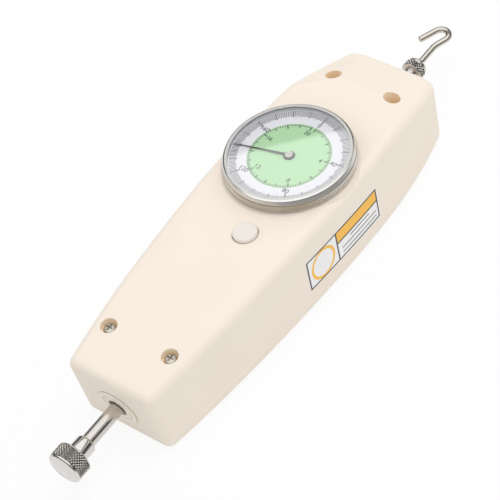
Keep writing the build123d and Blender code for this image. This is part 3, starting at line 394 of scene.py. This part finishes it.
carried = {
    "front_case": ivoryPlastic,
    "rear_cover": ivoryCover,
    "knob_end_ring": ringPlastic,
    "hook_end_ring": ringPlastic,
    "peak_button": buttonPlastic,
    "lens_spacer": spacerPlastic,
    "dial_plate": dialFinish,
    "lens": lensClear,
    "pointer": pointerInk,
    "pointer_cap": capMetal,
    "bezel": bezelMetal,
    "chassis": chassisMetal,
    "knob_end_bush": bronzeMetal,
    "hook_end_bush": bronzeMetal,
    "push_head": platedSteel,
    "lock_nut": platedSteel,
    "hook": hookSteel,
    "spring_collar": platedSteel,
}
carriedGroups = (
    (groundSteel, ("shaft", "transfer_arbor", "pointer_arbor", "lever_pin")),
    (sheetSteel, ("button_bracket", "brake_lever", "dial_retainer")),
    (springSteel, ("push_spring", "pull_spring", "button_spring", "hairspring", "bezel_snap_ring")),
    (screwSteel, ("cover_screws", "long_case_screws", "short_case_screws")),
    (screwSteel, ("movement_screws", "rack_screws", "bracket_screws")),
)
for material, names in carriedGroups:
    for name in names:
        carried[name] = material
for name, node in nodes.items():
    node.data.materials.clear()
    node.data.materials.append(carried.get(name, brassMetal))
print("the carried parts have their finishes:", len(nodes))


def addPiece(name, bm, material, body, smooth=False):
    bmesh.ops.remove_doubles(bm, verts=bm.verts, dist=mergeDistance)
    bmesh.ops.recalc_face_normals(bm, faces=bm.faces)
    for face in bm.faces:
        face.smooth = smooth
    mesh = bpy.data.meshes.new(name)
    bm.to_mesh(mesh)
    bm.free()
    mesh.materials.append(material)
    if smooth:
        mesh.set_sharp_from_angle(angle=math.radians(24))
    piece = bpy.data.objects.new(name, mesh)
    bpy.context.scene.collection.objects.link(piece)
    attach(piece, body)
    print("made", name, len(mesh.polygons), "faces")
    return piece


def alongShaft(y):
    # turns a piece made round Z so that it lies round the shaft line
    return Matrix.Translation((0, y, shaftHeight)) @ Matrix.Rotation(math.radians(-90), 4, "X")


def closeSleeve(bm, innerRadius):
    # takes both open rims in to the inner radius and joins them
    rims = [edge for edge in bm.edges if edge.is_boundary]
    pulled = bmesh.ops.extrude_edge_only(bm, edges=rims)["geom"]
    for vert in (item for item in pulled if isinstance(item, bmesh.types.BMVert)):
        flat = Vector((vert.co.x, vert.co.y, 0)).normalized() * innerRadius
        vert.co = (flat.x, flat.y, vert.co.z)
    inner = [item for item in pulled if isinstance(item, bmesh.types.BMEdge) and item.is_boundary]
    bmesh.ops.bridge_loops(bm, edges=inner)


def diamondKnurl(valley, peak, inner, around, rows, length):
    # a rolled grid whose corners stand out and in by turns, low corners joined
    bm = bmesh.new()
    across = 2 * around
    bmesh.ops.create_grid(bm, x_segments=across, y_segments=rows, size=0.5)
    low = []
    for vert in bm.verts:
        column = round((vert.co.x + 0.5) * across)
        row = round((vert.co.y + 0.5) * rows)
        angle = fullTurn * column / across
        radius = peak if (column + row) % 2 else valley
        if (column + row) % 2 == 0:
            low.append(vert)
        vert.co = (radius * math.cos(angle), radius * math.sin(angle), length * row / rows)
    bmesh.ops.connect_verts(bm, verts=low)
    bmesh.ops.remove_doubles(bm, verts=bm.verts, dist=mergeDistance)
    closeSleeve(bm, inner)
    return bm


def turned(profile, closed, steps=96):
    # pairs of radius and height in millimetres, spun round Z
    bm = bmesh.new()
    verts = [bm.verts.new((radius * mm, 0, height * mm)) for radius, height in profile]
    pairs = list(zip(verts, verts[1:])) + ([(verts[-1], verts[0])] if closed else [])
    edges = [bm.edges.new(pair) for pair in pairs]
    geometry = {"geom": verts + edges, "cent": (0, 0, 0), "axis": (0, 0, 1)}
    bmesh.ops.spin(bm, angle=fullTurn, steps=steps, use_merge=True, **geometry)
    return bm


# the head that pushes: its face is at height 0, its hub leads to the shaft
pushHead = {
    "face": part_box("push_head")[0].y,
    "profile": (
        (0, 0), (6.6, 0), (6.95, 0.12), (7.22, 0.38), (7.35, 0.75), (7.35, 0.95), (6.98, 1.05),
        (6.98, 6.65), (7.35, 6.75), (7.35, 6.95), (7.22, 7.22), (6.9, 7.42), (6.6, 7.5), (4.25, 7.5),
        (4.25, 13.6), (4.1, 13.95), (3.7, 14.4), (3.5, 14.5), (3.01, 14.5), (3.01, 2.0), (0, 2.0),
    ),
    "knurl": {"valley": 6.96 * mm, "peak": 7.44 * mm, "inner": 6.8 * mm, "around": 34, "rows": 8},
    "knurlFoot": 1.08 * mm,
    "knurlLength": 5.54 * mm,
}
head = turned(pushHead["profile"], closed=False)
head.transform(alongShaft(pushHead["face"]))
headPiece = addPiece("push_head_turned", head, platedSteel, "shaft_line", smooth=True)
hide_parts("push_head")
knurl = diamondKnurl(length=pushHead["knurlLength"], **pushHead["knurl"])
knurl.transform(alongShaft(pushHead["face"] + pushHead["knurlFoot"]))
headGrip = knurledMetal("headGrip", pushHead["knurl"]["valley"], pushHead["knurl"]["peak"])
addPiece("push_head_knurl", knurl, headGrip, "shaft_line")

lockNut = {
    "foot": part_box("lock_nut")[0].y,
    "profile": (
        (3.01, 0), (4.5, 0), (4.8, 0.12), (4.9, 0.3), (4.56, 0.38), (4.56, 3.15), (4.9, 3.22),
        (4.9, 3.36), (4.8, 3.52), (4.5, 3.6), (3.01, 3.6),
    ),
    "knurl": {"valley": 4.56 * mm, "peak": 5.0 * mm, "inner": 4.4 * mm, "around": 20, "rows": 4},
    "knurlFoot": 0.4 * mm,
    "knurlLength": 2.72 * mm,
}
nut = turned(lockNut["profile"], closed=True)
nut.transform(alongShaft(lockNut["foot"]))
nutPiece = addPiece("lock_nut_turned", nut, platedSteel, "hook_end", smooth=True)
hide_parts("lock_nut")
knurl = diamondKnurl(length=lockNut["knurlLength"], **lockNut["knurl"])
knurl.transform(alongShaft(lockNut["foot"] + lockNut["knurlFoot"]))
nutGrip = knurledMetal("nutGrip", lockNut["knurl"]["valley"], lockNut["knurl"]["peak"])
addPiece("lock_nut_knurl", knurl, nutGrip, "hook_end")


def ribbedBand(low, high, lowTaper, highTaper, valley, peak, rimShare, inner, ribs):
    # a ring with flat-topped upright ribs, tapered off to the rim at both ends
    bm = bmesh.new()
    made = bmesh.ops.create_circle(bm, segments=4 * ribs, radius=peak)
    for vert in made["verts"]:
        corner = round(math.atan2(vert.co.y, vert.co.x) / fullTurn * 4 * ribs)
        if corner % 4 in (0, 1):
            vert.co *= valley / peak
        vert.co.z = low + lowTaper
    pulled = bmesh.ops.extrude_edge_only(bm, edges=bm.edges[:])["geom"]
    for vert in (item for item in pulled if isinstance(item, bmesh.types.BMVert)):
        vert.co.z = high - highTaper
    rims = [edge for edge in bm.edges if edge.is_boundary]
    pulled = bmesh.ops.extrude_edge_only(bm, edges=rims)["geom"]
    middle = (low + high) / 2
    for vert in (item for item in pulled if isinstance(item, bmesh.types.BMVert)):
        flat = Vector((vert.co.x, vert.co.y, 0)).normalized() * valley * rimShare
        vert.co = (flat.x, flat.y, high if vert.co.z > middle else low)
    closeSleeve(bm, inner)
    return bm


bezelGrip = {
    "low": 40.0 * mm,
    "high": 44.0 * mm,
    "lowTaper": 0.3 * mm,
    "highTaper": 0.5 * mm,
    "valley": 26.98 * mm,
    "peak": 27.3 * mm,
    "rimShare": 0.9985,  # of the valley
    "inner": 26.7 * mm,
    "ribs": 236,
}
addPiece("bezel_grip", ribbedBand(**bezelGrip), bezelMetal, "bezel_group")


def polar(radius, clockwise):
    # a point on the dial, its angle clockwise from the 0 mark of the turned dial
    angle = math.radians(90 - clockwise + dial["turn"])
    return Vector((radius * math.cos(angle), radius * math.sin(angle), 0))


def addTick(bm, clockwise, inner, outer, width):
    bar = bmesh.ops.create_cube(bm, size=1.0)["verts"]
    spot = polar((inner + outer) / 2, clockwise)
    spot.z = dial["paintTop"] + dial["printHeight"] / 2
    turn = Matrix.Rotation(math.radians(-clockwise + dial["turn"]), 4, "Z")
    size = Matrix.Diagonal((width, outer - inner, dial["printHeight"], 1.0))
    bmesh.ops.transform(bm, matrix=Matrix.Translation(spot) @ turn @ size, verts=bar)


# ticks are listed from the longest: every how many marks, inner radius, width
outerScale = {
    "marks": 200,
    "markTurn": 1.8,  # degrees
    "outer": 24.46 * mm,
    "ticks": (
        (40, 20.3 * mm, 0.5 * mm),
        (10, 20.9 * mm, 0.44 * mm),
        (5, 21.2 * mm, 0.28 * mm),
        (1, 21.5 * mm, 0.28 * mm),
    ),
    "numbered": range(0, 200, 40),
    "marksPerUnit": 1,
    "numberRadius": 18.9 * mm,
    "numberSize": 3.0 * mm,
}
innerScale = {
    "marks": 101,
    "markTurn": 3.53,
    "outer": 17.1 * mm,
    "ticks": (
        (10, 14.9 * mm, 0.55 * mm),
        (5, 15.3 * mm, 0.46 * mm),
        (1, 16.0 * mm, 0.36 * mm),
    ),
    "numbered": range(20, 101, 20),
    "marksPerUnit": 5,
    "numberRadius": 13.3 * mm,
    "numberSize": 2.8 * mm,
}


def addScale(name, scale, ink):
    bm = bmesh.new()
    for mark in range(scale["marks"]):
        inner, width = next(tick[1:] for tick in scale["ticks"] if mark % tick[0] == 0)
        addTick(bm, mark * scale["markTurn"], inner, scale["outer"], width)
    addPiece(name, bm, ink, "bezel_group")


def addNumber(bm, text, clockwise, radius, size):
    letters = bpy.data.curves.new("number", "FONT")
    letters.body = text
    letters.size = size
    letters.align_x = "CENTER"
    letters.align_y = "CENTER"
    letters.extrude = dial["printHeight"] / 2
    letters.resolution_u = 3
    letters.offset = 0.04 * mm  # a slightly bold cut
    holder = bpy.data.objects.new("number", letters)
    mesh = bpy.data.meshes.new_from_object(holder)
    spot = polar(radius, clockwise)
    spot.z = dial["paintTop"] + dial["printHeight"] / 2
    mesh.transform(Matrix.Translation(spot) @ Matrix.Rotation(math.radians(dial["turn"]), 4, "Z"))
    bm.from_mesh(mesh)
    bpy.data.objects.remove(holder)
    bpy.data.curves.remove(letters)
    bpy.data.meshes.remove(mesh)


def addNumbers(name, scale, ink):
    bm = bmesh.new()
    for mark in scale["numbered"]:
        text = str(mark // scale["marksPerUnit"])
        turn = mark * scale["markTurn"]
        addNumber(bm, text, turn, scale["numberRadius"], scale["numberSize"])
    addPiece(name, bm, ink, "bezel_group")


addScale("outer_scale", outerScale, dialInk)
addScale("inner_scale", innerScale, greenInk)
addNumbers("outer_numbers", outerScale, dialInk)
addNumbers("inner_numbers", innerScale, greenInk)

# the printed label on the right side wall; its print is placed from its lower left corner
label = {
    "centre": (29.6 * mm, -9.6 * mm, 18.4 * mm),
    "length": 47.3 * mm,
    "height": 16.4 * mm,
    "tilt": -1.6,  # degrees
    "divider": 19.2 * mm,
    "band": 0.41,  # share of the height
    "line": 0.75 * mm,
    "margin": 0.35 * mm,
    "textLines": ((27.5, 40.5, 7.3, 7.9), (22.0, 45.0, 4.9, 5.5), (22.0, 45.0, 2.5, 3.1)),  # mm
    "ringCentre": (9.9 * mm, 8.1 * mm),
    "ringRadius": 6.75 * mm,
    "ringWidth": 1.3 * mm,
    "cells": (60, 20),  # along and up, enough to follow the wall
    "outside": 60 * mm,  # clear of the case, where the search for its wall starts
    "lift": 0.09 * mm,
    "thickness": 0.08 * mm,
}


def labelFinish():
    finish = newFinish("labelPrint")
    spot = finish.place(label["centre"], (math.radians(-label["tilt"]), 0, 0))
    x, y, z = finish.split(spot)
    along = y + label["length"] / 2
    up = z + label["height"] / 2
    margin = label["margin"]
    line = label["line"]

    def within(value, low, high):
        return (value > low) * (value < high)

    far = label["length"] - margin
    high = label["height"] - margin
    inFrame = within(along, margin, far) * within(up, margin, high)
    inside = within(along, margin + line, far - line) * within(up, margin + line, high - line)
    bandFoot = label["height"] * (1 - label["band"])
    onDivider = within(along, label["divider"] - line / 2, label["divider"] + line / 2)
    right = along > label["divider"]
    onBandLine = within(up, bandFoot - line / 2, bandFoot + line / 2) * right
    onBand = (up > bandFoot) * right * inside
    ringX = along - label["ringCentre"][0]
    ringY = up - label["ringCentre"][1]
    onRing = abs((ringX * ringX + ringY * ringY) ** 0.5 - label["ringRadius"]) < label["ringWidth"] / 2
    onText = 0
    for start, end, foot, top in label["textLines"]:
        onText = onText + within(up, foot * mm, top * mm) * within(along, start * mm, end * mm)
    dots = finish.noise(spot, 1800.0, 2.0)
    paper = finish.blend(dots, colour(250, 249, 249), colour(243, 242, 243))
    orange = finish.blend(dots, colour(255, 196, 70), colour(252, 186, 56))
    grey = finish.blend(dots, colour(92, 92, 94), colour(122, 122, 124))
    black = finish.blend(dots, colour(16, 15, 15), colour(26, 25, 25))
    onBlack = 1 - (1 - onDivider) * (1 - onBandLine) * inside
    printed = finish.blend(onBand, paper, orange)
    printed = finish.blend(onRing, printed, orange)
    printed = finish.blend(onText, printed, grey)
    printed = finish.blend(onBlack * inFrame, printed, black)
    return finish.shade(
        Base_Color=printed, Roughness=0.33 + dots * 0.08, Normal=finish.bump(dots, 0.0008 * mm)
    )


def layOnCase(bm):
    # every point is pressed on to the case wall along X and stood off a little
    case = nodes["front_case"].data
    corners = [vert.co.copy() for vert in case.vertices]
    wall = BVHTree.FromPolygons(corners, [face.vertices[:] for face in case.polygons])
    for vert in bm.verts:
        hit = wall.ray_cast(Vector((label["outside"], vert.co.y, vert.co.z)), Vector((-1, 0, 0)))
        vert.co.x = hit[0].x + label["lift"]


bm = bmesh.new()
bmesh.ops.create_grid(bm, x_segments=label["cells"][0], y_segments=label["cells"][1], size=0.5)
labelPlace = (
    Matrix.Translation(label["centre"])
    @ Matrix.Rotation(math.radians(label["tilt"]), 4, "X")
    @ Matrix(((0, 0, 1, 0), (label["length"], 0, 0, 0), (0, label["height"], 0, 0), (0, 0, 0, 1)))
)
bm.transform(labelPlace)
layOnCase(bm)
bmesh.ops.recalc_face_normals(bm, faces=bm.faces)
if bm.faces[0].normal.x < 0:
    bmesh.ops.reverse_faces(bm, faces=bm.faces)
bmesh.ops.solidify(bm, geom=bm.faces[:], thickness=label["thickness"])
addPiece("side_label", bm, labelFinish(), "housing")

# the threads in the four stand inserts, in millimetres
insertThread = {"radius": 2.5, "depth": 0.4, "pitch": 0.8, "length": 5.6, "start": 0.5, "wall": 0.05}
insertSpots = ((-12, -25), (-12, 25), (12, -25), (12, 25))


def threadProfile(radius, depth, pitch, length, start, wall):
    # crests and roots by turns, closed by a straight back inside the insert's wall
    turns = round(length / pitch)
    teeth = [(radius - depth * (n % 2), start + n * pitch / 2) for n in range(2 * turns + 1)]
    return teeth + [(radius + wall, start + length), (radius + wall, start)]


thread = turned(threadProfile(**insertThread), closed=True, steps=28)
single = bpy.data.meshes.new("thread")
thread.to_mesh(single)
thread.free()
bm = bmesh.new()
for spotX, spotY in insertSpots:
    copy = single.copy()
    copy.transform(Matrix.Translation((spotX * mm, spotY * mm, 0)))
    bm.from_mesh(copy)
    bpy.data.meshes.remove(copy)
bpy.data.meshes.remove(single)
addPiece("insert_threads", bm, brassMetal, "housing")

floorSheet = {
    "drop": 0.05 * mm,
    "size": 4.0,
    "seen": 0.9,  # how far the camera and the mirrors see it as plain white
    "middle": -25 * mm,  # the object's middle and half length along Y
    "halfLength": 125 * mm,
    "dim": {"From Min": 80 * mm, "From Max": 180 * mm, "To Min": 1.0, "To Max": 0.25},
}


def floorFinish():
    finish = newFinish("floorFinish")
    spot = finish.place()
    clouds = finish.noise(spot, 3.0, 2.0)
    isCamera = finish.node("ShaderNodeLightPath", output="Is Camera Ray")
    isGlossy = finish.node("ShaderNodeLightPath", output="Is Glossy Ray")
    isThrough = finish.node("ShaderNodeLightPath", output="Is Transmission Ray")
    pale = finish.blend(clouds, (0.93, 0.93, 0.93, 1.0), (0.92, 0.92, 0.92, 1.0))
    lit = finish.node("ShaderNodeBsdfDiffuse", None, {"Color": pale})
    x, y, z = finish.split(spot)
    # in mirror faces the floor dims as it gets further from the object
    past = (abs(y - floorSheet["middle"]) - floorSheet["halfLength"]).larger(0.0)
    reach = (x * x + past * past) ** 0.5
    dim = finish.node("ShaderNodeMapRange", None, {"Value": reach, **floorSheet["dim"]})
    seen = isCamera.larger(isGlossy).larger(isThrough)
    shown = finish.blend(isGlossy, (1.0, 1.0, 1.0, 1.0), finish.grey(dim))
    white = finish.node("ShaderNodeEmission", None, {"Color": shown, "Strength": 1.0})
    sockets = {0: seen * floorSheet["seen"], 1: lit, 2: white}
    finish.show(finish.node("ShaderNodeMixShader", None, sockets))
    return finish.owner


bm = bmesh.new()
bmesh.ops.create_grid(bm, x_segments=4, y_segments=4, size=floorSheet["size"])
bmesh.ops.translate(bm, verts=bm.verts, vec=(0, 0, -floorSheet["drop"]))
floorMesh = bpy.data.meshes.new("floor")
bm.to_mesh(floorMesh)
bm.free()
floorMesh.materials.append(floorFinish())
floor = bpy.data.objects.new("floor", floorMesh)
bpy.context.scene.collection.objects.link(floor)

# the surroundings that mirror faces show: how high each step starts, how wide its edge is
surroundings = {
    "overhead": (0.7126, 0.0016),  # the big lamp overhead, with a straight edge
    "upper": (0.64, 0.03),  # pale ceiling beside the lamp
    "middleFoot": (0.44, 0.04),  # a bright strip between two dark ones
    "middleTop": (0.58, 0.03),
    "horizon": (0.04, 0.06),  # pale walls round the table
}
mirroredLevels = {"overhead": 1.25, "upper": 0.3, "middle": 0.75, "horizon": 0.3, "dark": 0.05}
evenLight = 0.745  # the level that lights everything else


def studioWorld():
    world = bpy.data.worlds.new("studio")
    bpy.context.scene.world = world
    finish = Finish(world)
    direction = finish.node("ShaderNodeTexCoord", output="Generated")
    x, y, z = finish.split(direction)
    isCamera = finish.node("ShaderNodeLightPath", output="Is Camera Ray")
    isGlossy = finish.node("ShaderNodeLightPath", output="Is Glossy Ray")

    def rise(step):
        start, width = surroundings[step]
        heights = {"Value": z, "From Min": start, "From Max": start + width}
        return finish.node("ShaderNodeMapRange", {"interpolation_type": "SMOOTHSTEP"}, heights)

    overhead = rise("overhead")
    upper = rise("upper") - overhead
    middle = rise("middleFoot") - rise("middleTop")
    horizon = 1 - rise("horizon")
    level = overhead * mirroredLevels["overhead"] + upper * mirroredLevels["upper"]
    level = level + middle * mirroredLevels["middle"] + horizon * mirroredLevels["horizon"]
    level = level + mirroredLevels["dark"]
    soft = finish.blend(isGlossy, (evenLight,) * 3 + (1.0,), finish.grey(level))
    seen = finish.blend(isCamera, soft, (1.0, 1.0, 1.0, 1.0))
    shader = finish.node("ShaderNodeBackground", None, {"Color": seen, "Strength": 1.0})
    finish.node("ShaderNodeOutputWorld", None, {"Surface": shader})


studioWorld()

keyLamp = {"place": (0.1, 0.22, 1.05), "aim": (0, -0.02, 0.02), "size": 0.5, "power": 3.5}


def addLamp(name, place, aim, size, power):
    lamp = bpy.data.lights.new(name, "AREA")
    lamp.shape = "DISK"
    lamp.size = size
    lamp.energy = power
    holder = bpy.data.objects.new(name, lamp)
    holder.location = place
    holder.rotation_euler = (Vector(aim) - Vector(place)).to_track_quat("-Z", "Y").to_euler()
    holder.visible_glossy = False
    bpy.context.scene.collection.objects.link(holder)


addLamp("keyLamp", **keyLamp)

cameraView = {
    "aim": (15.68 * mm, -47.28 * mm, 43.5 * mm),
    "azimuth": 47.851,  # degrees, as are the next two
    "elevation": 48.123,
    "roll": -14.718,
    "distance": 803.09 * mm,
    "lens": 151.06,  # on a sensor 36 wide
    "sensor": 36.0,
}


def addCamera(aim, azimuth, elevation, roll, distance, lens, sensor):
    azimuth = math.radians(azimuth)
    elevation = math.radians(elevation)
    side = math.cos(elevation) * math.sin(azimuth)
    front = -math.cos(elevation) * math.cos(azimuth)
    outward = Vector((side, front, math.sin(elevation)))
    lensData = bpy.data.cameras.new("camera")
    lensData.lens = lens
    lensData.sensor_width = sensor
    lensData.clip_start = 0.01
    camera = bpy.data.objects.new("camera", lensData)
    upright = (-outward).to_track_quat("-Z", "Y").to_matrix().to_4x4()
    turn = Matrix.Rotation(math.radians(roll), 4, "Z")
    camera.matrix_world = Matrix.Translation(Vector(aim) + outward * distance) @ upright @ turn
    bpy.context.scene.collection.objects.link(camera)
    bpy.context.scene.camera = camera


addCamera(**cameraView)
bpy.context.scene.view_settings.view_transform = "Standard"
print("the camera and the lamps are set")
